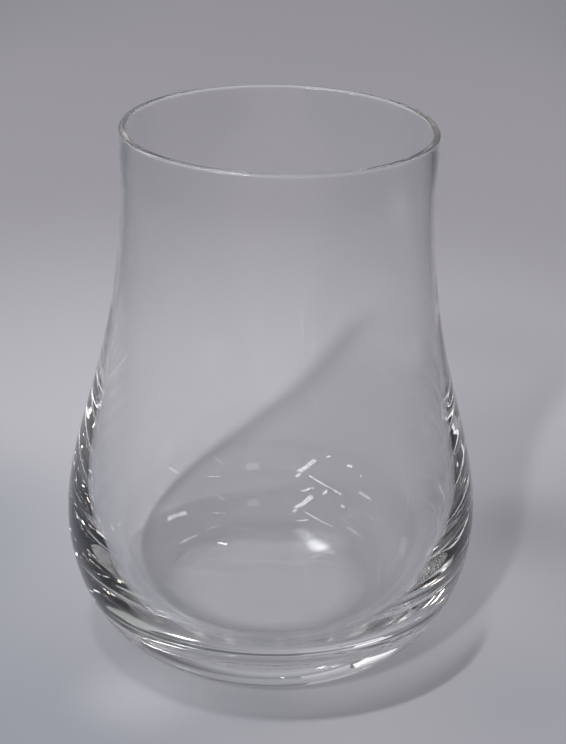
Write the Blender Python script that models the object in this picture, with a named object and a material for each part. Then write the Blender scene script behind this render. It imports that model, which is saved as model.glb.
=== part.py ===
"""A stemless snifter glass: one turned body of clear glass.

Metres, +Z up. The origin is the centre of the foot, on the table.
"""

import math

import bpy
from mathutils import Vector
from mathutils.geometry import interpolate_bezier

# Outside of the glass
GLASS_HEIGHT = 0.105
RIM_DIAMETER = 0.0592
BULGE_DIAMETER = 0.0806
BULGE_HEIGHT = 0.027
FOOT_DIAMETER = 0.0434

# The lip turns out a little from the neck, which is the narrowest place
LIP_FLARE = 0.0002
LIP_FLARE_HEIGHT = 0.0105

# Thickness of the glass, which grows from the neck down to the heavy base
LIP_WALL = 0.0014
NECK_WALL = 0.00126
BOWL_WALL = 0.0036
FLOOR_THICKNESS = 0.0095

# Inside: a flat floor, and a bowl that is widest a little above the bulge outside
FLOOR_DIAMETER = 0.041
BOWL_RISE = 0.0048

# Underside: a flat ring to stand on, round a shallow hollow
REST_RING_WIDTH = 0.0035
PUNT_DEPTH = 0.0008

# Fullness of each curve: how far it keeps to its end tangent, as a share of its height
FLANK_FULLNESS = 0.64
SHOULDER_FULLNESS_AT_BULGE = 0.258
SHOULDER_FULLNESS_AT_NECK = 0.524
BOWL_FULLNESS = 0.24
THROAT_FULLNESS_AT_BOWL = 0.215
THROAT_FULLNESS_AT_NECK = 0.475
LIP_FULLNESS = 0.45

# Smoothness of the mesh
TURN_STEPS = 64
BOWL_STEPS = 12
SHOULDER_STEPS = 10
LIP_FLARE_STEPS = 2
LIP_ROUND_STEPS = 6
PUNT_STEPS = 3
AXIS_MERGE = 0.00001

# Colourless fire-polished glass
GLASS_COLOUR = (0.97, 0.98, 0.98, 1.0)
GLASS_ROUGHNESS = 0.02
GLASS_IOR = 1.52


def clear_scene():
    for old in list(bpy.data.objects):
        bpy.data.objects.remove(old, do_unlink=True)


def clear_glass():
    material = bpy.data.materials.new("clear_glass")
    material.use_nodes = True
    shader = material.node_tree.nodes["Principled BSDF"]
    shader.inputs["Base Color"].default_value = GLASS_COLOUR
    shader.inputs["Metallic"].default_value = 0.0
    shader.inputs["Roughness"].default_value = GLASS_ROUGHNESS
    shader.inputs["IOR"].default_value = GLASS_IOR
    shader.inputs["Transmission Weight"].default_value = 1.0
    return material


def bend(start, start_handle, end_handle, end, steps):
    """Points of a Bezier from start to end, without start itself."""
    return interpolate_bezier(start, start_handle, end_handle, end, steps + 1)[1:]


def up(point, reach):
    """The handle that leaves a point straight up, or down for a negative reach."""
    return point + Vector((0.0, reach))


def rim_round(lip_inside):
    """The half circle over the lip, from its inner edge to its outer edge."""
    radius = LIP_WALL / 2
    centre = lip_inside + Vector((radius, 0.0))
    points = []
    for step in range(1, LIP_ROUND_STEPS + 1):
        angle = math.pi * (1 - step / LIP_ROUND_STEPS)
        points.append(centre + radius * Vector((math.cos(angle), math.sin(angle))))
    return points


def bellied_wall(base, widest, narrow, base_fullness, upper_fullness, narrow_fullness):
    """A wall from the edge of its flat base, out to its widest place and in again to its narrow one.

    The lower curve leaves the base level. Its handle there ends where it makes both curves bend
    alike at the widest place, so the wall has no break in its shine.
    """
    height = narrow.y - widest.y
    upper_reach = upper_fullness * height
    lower_reach = base_fullness * (widest.y - base.y)
    inset = (widest.x - narrow.x) * (lower_reach / upper_reach) ** 2
    base_handle = Vector((widest.x - inset, base.y))
    lower = bend(base, base_handle, up(widest, -lower_reach), widest, BOWL_STEPS)
    upper = bend(widest, up(widest, upper_reach), up(narrow, -narrow_fullness * height), narrow, SHOULDER_STEPS)
    return [base] + lower + upper


def inner_section():
    """Inside, from the middle of the floor up to the lip."""
    neck_height = GLASS_HEIGHT - LIP_FLARE_HEIGHT
    floor_middle = Vector((0.0, FLOOR_THICKNESS))
    floor_edge = Vector((FLOOR_DIAMETER / 2, FLOOR_THICKNESS))
    bowl = Vector((BULGE_DIAMETER / 2 - BOWL_WALL, BULGE_HEIGHT + BOWL_RISE))
    throat = Vector((RIM_DIAMETER / 2 - LIP_FLARE - NECK_WALL, neck_height))
    lip_inside = Vector((RIM_DIAMETER / 2 - LIP_WALL, GLASS_HEIGHT - LIP_WALL / 2))
    reach = LIP_FULLNESS * (lip_inside.y - throat.y)
    wall = bellied_wall(
        floor_edge, bowl, throat, BOWL_FULLNESS, THROAT_FULLNESS_AT_BOWL, THROAT_FULLNESS_AT_NECK
    )
    flare = bend(throat, up(throat, reach), up(lip_inside, -reach), lip_inside, LIP_FLARE_STEPS)
    return [floor_middle] + wall + flare


def outer_section():
    """Outside, from the edge of the foot up to the lip."""
    foot = Vector((FOOT_DIAMETER / 2, 0.0))
    bulge = Vector((BULGE_DIAMETER / 2, BULGE_HEIGHT))
    neck = Vector((RIM_DIAMETER / 2 - LIP_FLARE, GLASS_HEIGHT - LIP_FLARE_HEIGHT))
    lip_outside = Vector((RIM_DIAMETER / 2, GLASS_HEIGHT - LIP_WALL / 2))
    reach = LIP_FULLNESS * (lip_outside.y - neck.y)
    wall = bellied_wall(
        foot, bulge, neck, FLANK_FULLNESS, SHOULDER_FULLNESS_AT_BULGE, SHOULDER_FULLNESS_AT_NECK
    )
    flare = bend(neck, up(neck, reach), up(lip_outside, -reach), lip_outside, LIP_FLARE_STEPS)
    return wall + flare


def punt():
    """The shallow hollow under the foot, from its edge to its middle."""
    edge = Vector((FOOT_DIAMETER / 2 - REST_RING_WIDTH, 0.0))
    middle = Vector((0.0, PUNT_DEPTH))
    return [edge] + bend(edge, (edge + middle) / 2, Vector((edge.x / 2, PUNT_DEPTH)), middle, PUNT_STEPS)


def glass_section():
    """The whole section as (radius, height): up the inside, over the lip, down the outside and under."""
    inside = inner_section()
    lip = rim_round(inside[-1])
    outside = outer_section()[-2::-1]
    return inside + lip + outside + punt()


def turned_body(name, section, material):
    """A section turned all the way round Z. It runs down its outer side, so the faces point out."""
    points = [(point.x, 0.0, point.y) for point in section]
    edges = [(index, index + 1) for index in range(len(points) - 1)]
    mesh = bpy.data.meshes.new(name)
    mesh.from_pydata(points, edges, [])
    mesh.materials.append(material)
    body = bpy.data.objects.new(name, mesh)
    bpy.context.scene.collection.objects.link(body)
    turn = body.modifiers.new("Turn", "SCREW")
    turn.axis = "Z"
    turn.angle = 2 * math.pi
    turn.steps = TURN_STEPS
    turn.render_steps = TURN_STEPS
    turn.use_merge_vertices = True
    turn.merge_threshold = AXIS_MERGE
    turn.use_smooth_shade = True
    return body


def main():
    clear_scene()
    turned_body("glass_body", glass_section(), clear_glass())


main()
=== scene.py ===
import math

import bpy
from mathutils import Matrix, Vector


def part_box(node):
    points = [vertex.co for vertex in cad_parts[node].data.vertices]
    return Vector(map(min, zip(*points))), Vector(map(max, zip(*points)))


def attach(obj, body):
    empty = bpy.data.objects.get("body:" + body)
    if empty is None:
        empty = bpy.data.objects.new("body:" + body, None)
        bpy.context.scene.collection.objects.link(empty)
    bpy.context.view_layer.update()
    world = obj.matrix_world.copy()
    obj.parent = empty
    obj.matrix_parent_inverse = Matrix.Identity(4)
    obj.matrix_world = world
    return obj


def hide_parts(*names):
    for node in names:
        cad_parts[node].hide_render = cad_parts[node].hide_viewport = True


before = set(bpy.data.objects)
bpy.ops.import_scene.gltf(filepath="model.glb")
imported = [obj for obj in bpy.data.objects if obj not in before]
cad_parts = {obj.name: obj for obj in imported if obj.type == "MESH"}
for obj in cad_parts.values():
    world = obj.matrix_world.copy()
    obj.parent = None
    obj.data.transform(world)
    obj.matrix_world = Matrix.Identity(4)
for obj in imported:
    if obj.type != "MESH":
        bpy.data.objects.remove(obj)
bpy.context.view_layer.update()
print("CAD glass loaded")


def toLinear(hexColour):
    channels = [int(hexColour[at:at + 2], 16) / 255 for at in (1, 3, 5)]
    return [c / 12.92 if c <= 0.04045 else ((c + 0.055) / 1.055) ** 2.4 for c in channels] + [1.0]


def addNode(tree, kind, values={}, links={}, **settings):
    node = tree.nodes.new("ShaderNode" + kind)
    for name, setting in settings.items():
        setattr(node, name, setting)
    for name, value in values.items():
        node.inputs[name].default_value = value
    for name, socket in links.items():
        tree.links.new(socket, node.inputs[name])
    return node


def newTree(owner):
    owner.use_nodes = True
    owner.node_tree.nodes.clear()
    return owner.node_tree


def towards(azimuth, elevation=0):
    # unit vector from the glass, in degrees: 0 to the right, 90 behind
    around, above = math.radians(azimuth), math.radians(elevation)
    level = Vector((math.cos(around), math.sin(around), 0)) * math.cos(above)
    return level + Vector((0, 0, math.sin(above)))


# The turned glass, lengths in millimetres; its height and widest place come from the CAD box
glassShape = {
    "rimAcross": 59.2,
    "bulgeHeight": 27.0,
    "footAcross": 43.4,
    "lipFlare": 0.2,
    "lipFlareHeight": 10.5,
    "lipWall": 1.4,
    "neckWall": 1.26,
    "bowlWall": 3.6,
    "bowlRise": 4.8,  # how far the inside's widest place is above the bulge
    "floorThickness": 9.5,
    "floorAcross": 41.0,
    "restRing": 3.5,
    "puntDepth": 0.8,
    "floorHandle": 7.0,  # along the flat floor
    "endHandle": 1.0,  # short ones at the curve's ends and along the rest ring
    "fullness": {  # reach of a curve's handles as a share of its height
        "outside": (0.64, 0.258, 0.524),  # at the foot, above the bulge, below the neck
        "inside": (0.24, 0.215, 0.475),  # at the floor, above the bowl, below the neck
        "lip": 0.45,
    },
    "curveSteps": 18,
    "turnSteps": 256,
}
quarterArc = 0.5523  # Bezier handle of a quarter circle, over its radius
seamGap = 0.000002  # metres


def wallReaches(base, widest, narrow, fullness):
    # handle lengths that let both curves bend alike at the widest place
    lower = fullness[0] * (widest.z - base.z)
    upper = fullness[1] * (narrow.z - widest.z)
    inset = (widest.x - narrow.x) * (lower / upper) ** 2
    return widest.x - inset - base.x, lower, upper, fullness[2] * (narrow.z - widest.z)


def glassKnots():
    # each knot is its place, its handle back and its handle ahead, up the inside and down the outside
    size = {name: value / 1000 for name, value in glassShape.items() if isinstance(value, float)}
    fullness = glassShape["fullness"]
    low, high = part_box("glass_body")
    height = high[2]
    bulgeRadius = (high[0] - low[0]) / 2
    neckHeight = height - size["lipFlareHeight"]
    neckRadius = size["rimAcross"] / 2 - size["lipFlare"]
    lipRadius = size["lipWall"] / 2
    lipRound = quarterArc * lipRadius

    floorMiddle = Vector((0, 0, size["floorThickness"]))
    floorEdge = Vector((size["floorAcross"] / 2, 0, size["floorThickness"]))
    bowl = Vector((bulgeRadius - size["bowlWall"], 0, size["bulgeHeight"] + size["bowlRise"]))
    throat = Vector((neckRadius - size["neckWall"], 0, neckHeight))
    lipTop = Vector((size["rimAcross"] / 2 - lipRadius, 0, height))
    lipInside = lipTop + Vector((-lipRadius, 0, -lipRadius))
    lipOutside = lipTop + Vector((lipRadius, 0, -lipRadius))
    neck = Vector((neckRadius, 0, neckHeight))
    bulge = Vector((bulgeRadius, 0, size["bulgeHeight"]))
    foot = Vector((size["footAcross"] / 2, 0, 0))
    ringInside = foot - Vector((size["restRing"], 0, 0))
    puntMiddle = Vector((0, 0, size["puntDepth"]))

    out, up = Vector((1, 0, 0)), Vector((0, 0, 1))
    inFloor, inLower, inUpper, inNeck = wallReaches(floorEdge, bowl, throat, fullness["inside"])
    outFoot, outLower, outUpper, outNeck = wallReaches(foot, bulge, neck, fullness["outside"])
    flare = fullness["lip"] * (lipInside.z - neckHeight)
    floorReach, end = size["floorHandle"], size["endHandle"]
    return [
        (floorMiddle, -out * end, out * floorReach),
        (floorEdge, -out * floorReach, out * inFloor),
        (bowl, -up * inLower, up * inUpper),
        (throat, -up * inNeck, up * flare),
        (lipInside, -up * flare, up * lipRound),
        (lipTop, -out * lipRound, out * lipRound),
        (lipOutside, up * lipRound, -up * flare),
        (neck, up * flare, -up * outNeck),
        (bulge, up * outUpper, -up * outLower),
        (foot, out * outFoot, -out * end),
        (ringInside, out * end, (puntMiddle - ringInside) / 2),
        (puntMiddle, out * ringInside.x / 2, -out * end),
    ]


def turnGlass():
    bpy.ops.object.select_all(action="DESELECT")
    knots = glassKnots()
    bpy.ops.curve.primitive_bezier_curve_add(location=(0, 0, 0))
    glass = bpy.context.object
    glass.name = "snifterGlass"
    spline = glass.data.splines[0]
    spline.bezier_points.add(len(knots) - 2)
    spline.resolution_u = glassShape["curveSteps"]
    for point, (place, back, ahead) in zip(spline.bezier_points, knots):
        point.handle_left_type = point.handle_right_type = "FREE"
        point.co = place
        point.handle_left = place + back
        point.handle_right = place + ahead
    bpy.ops.object.convert(target="MESH")
    glass = bpy.context.object
    bpy.ops.object.mode_set(mode="EDIT")
    bpy.ops.mesh.select_all(action="SELECT")
    bpy.ops.mesh.spin(steps=glassShape["turnSteps"], angle=2 * math.pi, center=(0, 0, 0), axis=(0, 0, 1))
    bpy.ops.mesh.select_all(action="SELECT")
    bpy.ops.mesh.remove_doubles(threshold=seamGap)  # closes the seam and both poles
    bpy.ops.mesh.normals_make_consistent(inside=False)
    bpy.ops.object.mode_set(mode="OBJECT")
    bpy.ops.object.shade_smooth()
    outside = glass.data.attributes.new("outside", "FLOAT", "POINT")  # 1 on the outer wall, 0 on the inner
    for vertex, mark in zip(glass.data.vertices, outside.data):
        mark.value = vertex.normal.xy.dot(vertex.co.xy) > 0
    return glass


# Soda-lime glass, machine blown and fire polished: colourless, mirror smooth, with a faint ripple
glassFinish = {
    "tint": "#FEFEFE",
    "ior": 1.52,
    "rippleWidth": 6.0,  # millimetres, as the next two
    "rippleLength": 150.0,  # it is drawn out up the wall
    "rippleDepth": 1.0,  # at full strength
    "rippleStrength": 0.008,
    "rippleBelow": 70.0,  # millimetres up the glass; the lip is smooth
    "calmAbove": 90.0,
    "shadowFace": "#F7F7F7",
    "shadowEdge": "#101011",
    # one shadow for each lamp, with the lamp's azimuth and elevation; "turn" is how far the wall turns away
    # where it starts and is full, "near", "far" and "neck" are the shares left there and "veil" is its least
    "shadows": (
        {
            "lamp": (229, 76), "darkestAt": 310, "turn": (0.48, 0.80), "nearFade": (0.024, 0.039),
            "near": 0.2, "veil": 0.15, "far": 0.0, "neck": 0.0,
        },
        {
            "lamp": (250, 36), "darkestAt": 160, "turn": (0.45, 0.85), "nearFade": (0.022, 0.036),
            "near": 0.5, "veil": 0.25, "far": 0.7, "neck": 1.0,
        },
    ),
    "sideFade": (-0.010, 0.012),  # metres from the axis towards the darkest side
    "farFade": (0.004, 0.024),  # metres from the axis away from the lamp
    "footFade": (0.010, 0.024),  # metres up the glass
    "neckFade": (0.038, 0.060),
    "lampSpread": (0.95, 0.98),  # cosine between a ray and the lamp's direction
}


def clearGlass():
    material = bpy.data.materials.new("sodaLimeGlass")
    tree = newTree(material)
    place = addNode(tree, "TexCoord").outputs["Object"]
    upScale = glassFinish["rippleWidth"] / glassFinish["rippleLength"]
    drawn = addNode(tree, "Mapping", {"Scale": (1, 1, upScale)}, {"Vector": place})
    ripple = addNode(
        tree, "TexNoise", {"Scale": 1000 / glassFinish["rippleWidth"], "Detail": 1.0},
        {"Vector": drawn.outputs["Vector"]},
    )
    height = addNode(tree, "SeparateXYZ", {}, {0: place}).outputs["Z"]
    calm = addNode(
        tree, "MapRange",
        {
            "From Min": glassFinish["calmAbove"] / 1000, "From Max": glassFinish["rippleBelow"] / 1000,
            "To Min": 0.0, "To Max": glassFinish["rippleStrength"],
        },
        {"Value": height},
    )
    bump = addNode(
        tree, "Bump", {"Distance": glassFinish["rippleDepth"] / 1000},
        {"Strength": calm.outputs["Result"], "Height": ripple.outputs["Fac"]},
    )
    glass = addNode(
        tree, "BsdfPrincipled",
        {
            "Base Color": toLinear(glassFinish["tint"]), "Roughness": 0.0,
            "IOR": glassFinish["ior"], "Transmission Weight": 1.0,
        },
        {"Normal": bump.outputs["Normal"]},
    )
    # lamps shine through: each shadow is pale where the wall faces its lamp and dark where it turns away,
    # most on one side, and less near the lamp, behind the glass, up the neck and at the foot
    facing = addNode(tree, "LayerWeight").outputs["Facing"]
    rayBack = addNode(tree, "NewGeometry").outputs["Incoming"]  # of a shadow ray, so away from the lamp
    outside = addNode(tree, "Attribute", attribute_name="outside").outputs["Fac"]
    up = Vector((0, 0, 1))
    dark = None
    for shadow in glassFinish["shadows"]:
        toLamp = towards(*shadow["lamp"])
        near = towards(shadow["lamp"][0])
        darkest = towards(shadow["darkestAt"])
        # what is measured, along what, where it starts and is full, and its share at both
        wallFades = (
            (facing, None, shadow["turn"], 0.0, 1.0),
            (place, near, shadow["nearFade"], 1.0, shadow["near"]),
            (place, darkest, glassFinish["sideFade"], 0.0, 1.0),
            (place, up, glassFinish["footFade"], 0.0, 1.0),
        )
        wholeFades = (
            (outside, None, (0.0, 1.0), 0.0, 1.0),
            (place, -near, glassFinish["farFade"], 1.0, shadow["far"]),
            (place, up, glassFinish["neckFade"], 1.0, shadow["neck"]),
            (rayBack, -toLamp, glassFinish["lampSpread"], 0.0, 1.0),
        )
        share = None
        for fades, veil in ((wallFades, shadow["veil"]), (wholeFades, 0.0)):
            for measure, along, (start, full), low, high in fades:
                if along:
                    measure = addNode(
                        tree, "VectorMath", {1: along}, {0: measure}, operation="DOT_PRODUCT",
                    ).outputs["Value"]
                fade = addNode(
                    tree, "MapRange", {"From Min": start, "From Max": full, "To Min": low, "To Max": high},
                    {"Value": measure}, interpolation_type="SMOOTHSTEP",
                ).outputs["Result"]
                share = addNode(
                    tree, "Math", {}, {0: share, 1: fade}, operation="MULTIPLY",
                ).outputs["Value"] if share else fade
            if veil:  # the least that the whole wall shades
                share = addNode(
                    tree, "Math", {1: 1 - veil, 2: veil}, {0: share}, operation="MULTIPLY_ADD",
                ).outputs["Value"]
        dark = addNode(
            tree, "Math", {}, {0: dark, 1: share}, operation="ADD",
        ).outputs["Value"] if dark else share
    shade = addNode(
        tree, "Mix", {6: toLinear(glassFinish["shadowFace"]), 7: toLinear(glassFinish["shadowEdge"])},
        {0: dark}, data_type="RGBA",
    )
    lampLight = addNode(tree, "BsdfTransparent", {}, {"Color": shade.outputs[2]})
    # rays from the table to the lamps and the room meet the shadow, all others the clear glass
    path = addNode(tree, "LightPath").outputs
    lit = addNode(
        tree, "Math", {}, {0: path["Is Shadow Ray"], 1: path["Is Diffuse Ray"]}, operation="MAXIMUM",
    )
    both = addNode(
        tree, "MixShader", {},
        {0: lit.outputs["Value"], 1: glass.outputs["BSDF"], 2: lampLight.outputs["BSDF"]},
    )
    addNode(tree, "OutputMaterial", {}, {"Surface": both.outputs["Shader"]})
    return material


glass = turnGlass()
glass.data.materials.append(clearGlass())
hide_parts("glass_body")
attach(glass, "root")
print("glass turned,", len(glass.data.polygons), "faces")


# Laminate table top, pressed matt: pale grey with hardly any gloss. Its paint also carries painted light and
# shade: palest behind the glass, bluish at the front left, darker past both sides of the picture, painted
# shadows next to the glass and the painted bright streak and pale spot of light that the base gathers.
tableTop = {
    "width": 8.0,  # metres
    "gap": 0.0002,  # metres below the foot
    "roughness": 0.8,
    "gloss": 0.1,
    "colour": "#B0ADB3",
    "paintedSideShade": (  # painted shade past both sides: colour, where along X it starts, where it is full
        ("#84888E", -0.105, -0.23),
        ("#6C6C72", 0.10, 0.25),
    ),
    "paintedLightPatches": (  # painted light and shade, pools, shadows and gathered light: colour, middle, radius in metres
        ("#CFCED3", (-0.018, 0.098), 0.20),
        ("#EDEDF0", (-0.165, 0.100), 0.09),
        ("#A9AEB6", (-0.085, 0.030), 0.07),
        ("#A4A9B2", (-0.060, -0.050), 0.085),
        ("#A4A4AA", (0.10, 0.03), 0.08),
        ("#A5A4AA", (0.060, 0.042), 0.026),
        ("#ADADB4", (0.052, -0.030), 0.04),
        # a painted pale spot of light that the base gathers at the front left
        ("#C2C3C9", (-0.024, -0.028), 0.018),
        ("#A6A6AC", (-0.17, 0.56), 0.13),
        ("#A6A6AC", (0.17, 0.56), 0.13),
        ("#ADAFB5", (-0.001, -0.031), 0.013),
        ("#DFE2E6", (0.0070, 0.0225), 0.0026),  # from here on the painted bright streak of light that the base gathers
        ("#E9ECEF", (0.0084, 0.0203), 0.0027),
        ("#F5F7F9", (0.0098, 0.0180), 0.0028),
        ("#FFFFFF", (0.0112, 0.0158), 0.0030),
    ),
}


def paleTable():
    bpy.ops.object.select_all(action="DESELECT")
    bpy.ops.mesh.primitive_plane_add(size=tableTop["width"], location=(0, 0, -tableTop["gap"]))
    table = bpy.context.object
    table.name = "paleTable"
    material = bpy.data.materials.new("mattLaminate")
    tree = newTree(material)
    place = addNode(tree, "TexCoord").outputs["Object"]
    across = addNode(tree, "SeparateXYZ", {}, {0: place}).outputs["X"]
    # painted shade towards both sides and painted patches of light and shade, mixed over the table's colour
    fades = [(colour, start, full, across) for colour, start, full in tableTop["paintedSideShade"]]
    for colour, middle, radius in tableTop["paintedLightPatches"]:
        away = addNode(tree, "VectorMath", {1: (*middle, 0)}, {0: place}, operation="DISTANCE")
        fades.append((colour, radius, 0.0, away.outputs["Value"]))
    paint = None
    for colour, start, full, measure in fades:
        fade = addNode(
            tree, "MapRange", {"From Min": start, "From Max": full}, {"Value": measure},
            interpolation_type="SMOOTHSTEP",
        )
        lightAndShadeCoat = addNode(
            tree, "Mix", {6: toLinear(tableTop["colour"]), 7: toLinear(colour)},
            {0: fade.outputs["Result"]}, data_type="RGBA",
        )
        if paint:
            tree.links.new(paint, lightAndShadeCoat.inputs[6])
        paint = lightAndShadeCoat.outputs[2]
    surface = addNode(
        tree, "BsdfPrincipled",
        {"Roughness": tableTop["roughness"], "Specular IOR Level": tableTop["gloss"]}, {"Base Color": paint},
    )
    addNode(tree, "OutputMaterial", {}, {"Surface": surface.outputs["BSDF"]})
    table.data.materials.append(material)
    return table


table = paleTable()
print("table laid")


# Soft room light: pale walls behind and to the left, dim towards the front right and near the horizon,
# and a ceiling. Heights are on a unit sphere.
roomLight = {
    "colour": "#F6F7FF",
    "brightFrom": 120,  # azimuth in degrees, 0 to the right and 90 behind
    "level": 0.6,
    "darkBeyond": -0.3,  # cosine of the angle from the bright side
    "lowSky": 0.25,  # share of the level near the horizon
    "lowSkyTo": (0.3, 0.6),  # heights where the low sky ends and the full level starts
    "ceiling": 0.34,  # least level overhead
    "ceilingFrom": (0.72, 0.84),  # heights where the ceiling starts and is full
}
# Long lamps that light the table and don't show in the glass: the azimuth and elevation of both ends
# as seen from the glass, in degrees, the distance and width in metres, and the share of the table's light
lamps = {
    "highLamp": {"ends": ((229, 73), (229, 79)), "distance": 2.4, "width": 0.08, "share": 0.3},
    "frontLamp": {"ends": ((250, 33), (250, 39)), "distance": 5.0, "width": 0.2, "share": 0.32},
}
# Small bright things round the room that only the glass shows, with their brightness; past the deepest
# bounce the waviness of a real wall breaks their light up, so it is dimmed
glints = {
    "highStrip": {"ends": ((224, 60), (224, 70)), "distance": 1.2, "width": 0.04, "level": 20, "deepest": 8},
    "frontStrip": {
        "ends": ((247.5, 48), (246, 40)), "distance": 1.3, "width": 0.05, "level": 20, "deepest": 8,
    },
    "windowGlow": {"ends": ((116, 17), (132, 17)), "distance": 2.0, "width": 0.3, "level": 1.0},
    "windowSide": {"ends": ((100, 20), (115, 20)), "distance": 2.0, "width": 0.3, "level": 0.35},
    "backPanel": {"ends": ((40, 50), (52, 50)), "distance": 1.6, "width": 0.25, "level": 6},
    "rightLow": {"ends": ((306, 24), (312, 12)), "distance": 1.6, "width": 0.03, "level": 3},
    "rightHigh": {
        "ends": ((314, 42), (325, 33)), "distance": 1.6, "width": 0.03, "level": 8, "colour": "#FFEEDF",
    },
    "farRight": {"ends": ((2, 30), (4, 18)), "distance": 1.6, "width": 0.03, "level": 2},
    "lowStrip": {"ends": ((248, 38), (239, 18)), "distance": 1.6, "width": 0.10, "level": 25, "deepest": 8},
    "leftStrip": {"ends": ((238, 42), (194, 53)), "distance": 1.5, "width": 0.05, "level": 20, "deepest": 8},
    "lowSpot": {"ends": ((231, 12), (229, 8)), "distance": 1.6, "width": 0.05, "level": 25, "deepest": 8},
    "sideSpot": {"ends": ((215, 13), (211, 12)), "distance": 1.6, "width": 0.08, "level": 25, "deepest": 8},
    "farSpot": {"ends": ((203, 17), (201, 17)), "distance": 1.6, "width": 0.04, "level": 15, "deepest": 8},
    "backSpot": {
        "ends": ((94, 25.2), (95, 24.8)), "distance": 1.6, "width": 0.008, "level": 10, "deepest": 8,
    },
    "warmStrip": {
        "ends": ((178, 34), (192, 36)), "distance": 1.6, "width": 0.10, "level": 5, "colour": "#FFEEE4",
    },
    "frontGlow": {"ends": ((241, 32), (259, 32)), "distance": 1.8, "width": 0.35, "level": 0.35},
    "frontRight": {"ends": ((280, 33), (290, 33)), "distance": 1.8, "width": 0.31, "level": 2.0},
    "rightGlow": {
        "ends": ((17, 34), (48, 34)), "distance": 2.0, "width": 1.1, "level": 0.32, "colour": "#F2F7F0",
    },
    "lowRight": {
        "ends": ((341, 17), (346, 5)), "distance": 1.6, "width": 0.05, "level": 4, "colour": "#EFFFFB",
    },
}
deepShare = 0.04  # of a glint's brightness, past its deepest bounce
# Light that the heavy base gathers on the table: middle and radius in metres, share of the table's light
gatheredLight = {
    "underBase": {"middle": (0, 0), "radius": 0.021, "share": 0.2, "softEdge": 0.5},
    "starGlow": {"middle": (0.011, 0.018), "radius": 0.008, "share": 0.2, "softEdge": 1.0},
    "starCore": {"middle": (0.0108, 0.0165), "radius": 0.0030, "share": 1.4, "softEdge": 1.0},
}
spotHeight = 0.25  # metres above the table


def lightRoom():
    world = bpy.data.worlds.new("room")
    bpy.context.scene.world = world
    tree = newTree(world)
    outwards = addNode(tree, "TexCoord").outputs["Generated"]
    fromBright = addNode(
        tree, "VectorMath", {1: towards(roomLight["brightFrom"])}, {0: outwards}, operation="DOT_PRODUCT",
    )
    height = addNode(tree, "SeparateXYZ", {}, {0: outwards}).outputs["Z"]
    start, full = roomLight["lowSkyTo"]
    above = addNode(
        tree, "MapRange",
        {"From Min": start, "From Max": full, "To Min": roomLight["lowSky"], "To Max": 1.0},
        {"Value": height},
    )
    level = addNode(
        tree, "MapRange",
        {"From Min": roomLight["darkBeyond"], "From Max": 1.0, "To Min": 0.0, "To Max": roomLight["level"]},
        {"Value": fromBright.outputs["Value"]},
    )
    walls = addNode(
        tree, "Math", {}, {0: level.outputs["Result"], 1: above.outputs["Result"]}, operation="MULTIPLY",
    )
    start, full = roomLight["ceilingFrom"]
    ceiling = addNode(
        tree, "MapRange",
        {"From Min": start, "From Max": full, "To Min": 0.0, "To Max": roomLight["ceiling"]},
        {"Value": height},
    )
    strength = addNode(
        tree, "Math", {}, {0: walls.outputs["Value"], 1: ceiling.outputs["Result"]}, operation="MAXIMUM",
    )
    sky = addNode(
        tree, "Background", {"Color": toLinear(roomLight["colour"])}, {"Strength": strength.outputs["Value"]},
    )
    addNode(tree, "OutputWorld", {}, {"Surface": sky.outputs["Background"]})


def placeLamp(name, lamp):
    first, last = (towards(*end) * lamp["distance"] for end in lamp["ends"])
    middle = (first + last) / 2
    along = (last - first).normalized()
    across = middle.cross(along).normalized()
    data = bpy.data.lights.new(name, "AREA")
    data.shape = "RECTANGLE"
    data.size, data.size_y = (last - first).length, lamp["width"]
    data.color = toLinear(lamp.get("colour", "#FFFFFF"))[:3]
    lampObject = bpy.data.objects.new(name, data)
    if "deepest" in lamp:
        data.use_nodes = True
        tree = data.node_tree
        deepest = lamp["deepest"]
        kept = addNode(
            tree, "MapRange",
            {"From Min": deepest, "From Max": deepest + 1, "To Min": 1.0, "To Max": deepShare},
            {"Value": addNode(tree, "LightPath").outputs["Ray Depth"]},
        )
        tree.links.new(kept.outputs["Result"], tree.nodes["Emission"].inputs["Strength"])
    if "share" in lamp:  # power that lights a white table this much
        data.energy = lamp["share"] * (math.pi * middle.length) ** 2 * middle.length / middle.z
        lampObject.visible_glossy = False
        lampObject.visible_transmission = False
    else:  # power of a panel that looks this bright
        data.energy = lamp["level"] * math.pi * data.size * data.size_y
        lampObject.visible_diffuse = False
    turned = Matrix((along, across, along.cross(across))).transposed().to_4x4()
    turned.translation = middle
    lampObject.matrix_world = turned
    bpy.context.scene.collection.objects.link(lampObject)


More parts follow.
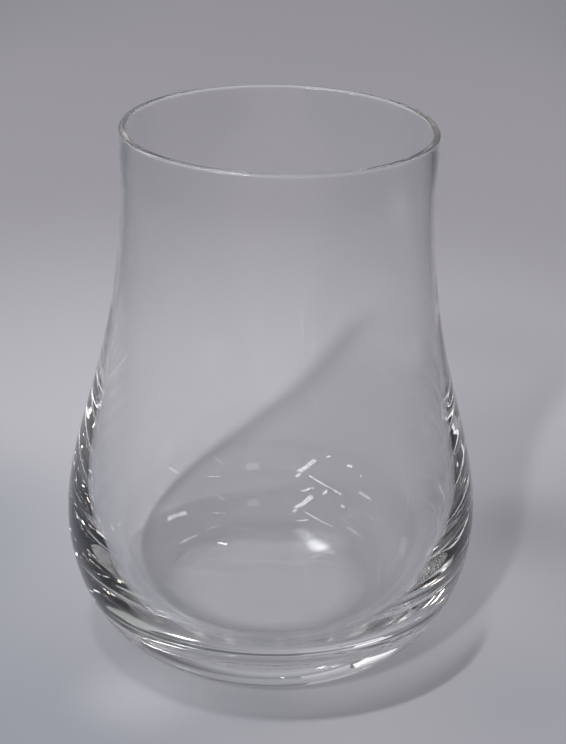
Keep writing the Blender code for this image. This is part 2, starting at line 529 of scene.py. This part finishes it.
def placeSpot(name, spot):
    data = bpy.data.lights.new(name, "SPOT")
    data.energy = spot["share"] * (2 * math.pi * spotHeight) ** 2
    data.spot_size = 2 * math.atan(spot["radius"] / spotHeight)
    data.spot_blend = spot["softEdge"]
    data.shadow_soft_size = 0.0
    lampObject = bpy.data.objects.new(name, data)
    lampObject.location = (*spot["middle"], spotHeight)
    lampObject.visible_glossy = False
    lampObject.visible_transmission = False
    bpy.context.scene.collection.objects.link(lampObject)


lightRoom()
for name, lamp in {**lamps, **glints}.items():
    placeLamp(name, lamp)
for name, spot in gatheredLight.items():
    placeSpot(name, spot)
print("room and lamps lit")


# Camera as in the photograph, lengths in metres and angles in degrees
view = {
    "distance": 0.3392,
    "height": 0.2038,
    "pitch": 23.59,
    "yaw": 0.30,
    "roll": 1.48,
    "focalPixels": 1908,
    "pictureHeight": 744,  # pixels, the long side
    "sensor": 36,  # millimetres along the long side
    "nearest": 0.01,  # nothing nearer is drawn
}
wallBounces = 200  # light runs round inside the wall many times


def placeCamera():
    pitch, yaw, roll = (math.radians(view[name]) for name in ("pitch", "yaw", "roll"))
    ahead = Vector((math.sin(yaw) * math.cos(pitch), math.cos(yaw) * math.cos(pitch), -math.sin(pitch)))
    right = Vector((math.cos(yaw), -math.sin(yaw), 0))
    level = Matrix((right, right.cross(ahead), -ahead)).transposed()
    turned = (Matrix.Rotation(-roll, 3, ahead) @ level).to_4x4()
    turned.translation = (0, -view["distance"], view["height"])
    data = bpy.data.cameras.new("camera")
    data.sensor_width = view["sensor"]
    data.lens = view["sensor"] * (view["focalPixels"] / view["pictureHeight"])
    data.clip_start = view["nearest"]
    camera = bpy.data.objects.new("camera", data)
    camera.matrix_world = turned
    bpy.context.scene.collection.objects.link(camera)
    bpy.context.scene.camera = camera


placeCamera()
scene = bpy.context.scene
scene.view_settings.view_transform = "Standard"
scene.cycles.max_bounces = wallBounces
scene.cycles.transmission_bounces = wallBounces
scene.cycles.glossy_bounces = wallBounces
scene.cycles.caustics_refractive = False  # the glass's own shadow rays carry the lamps' light
print("camera placed")
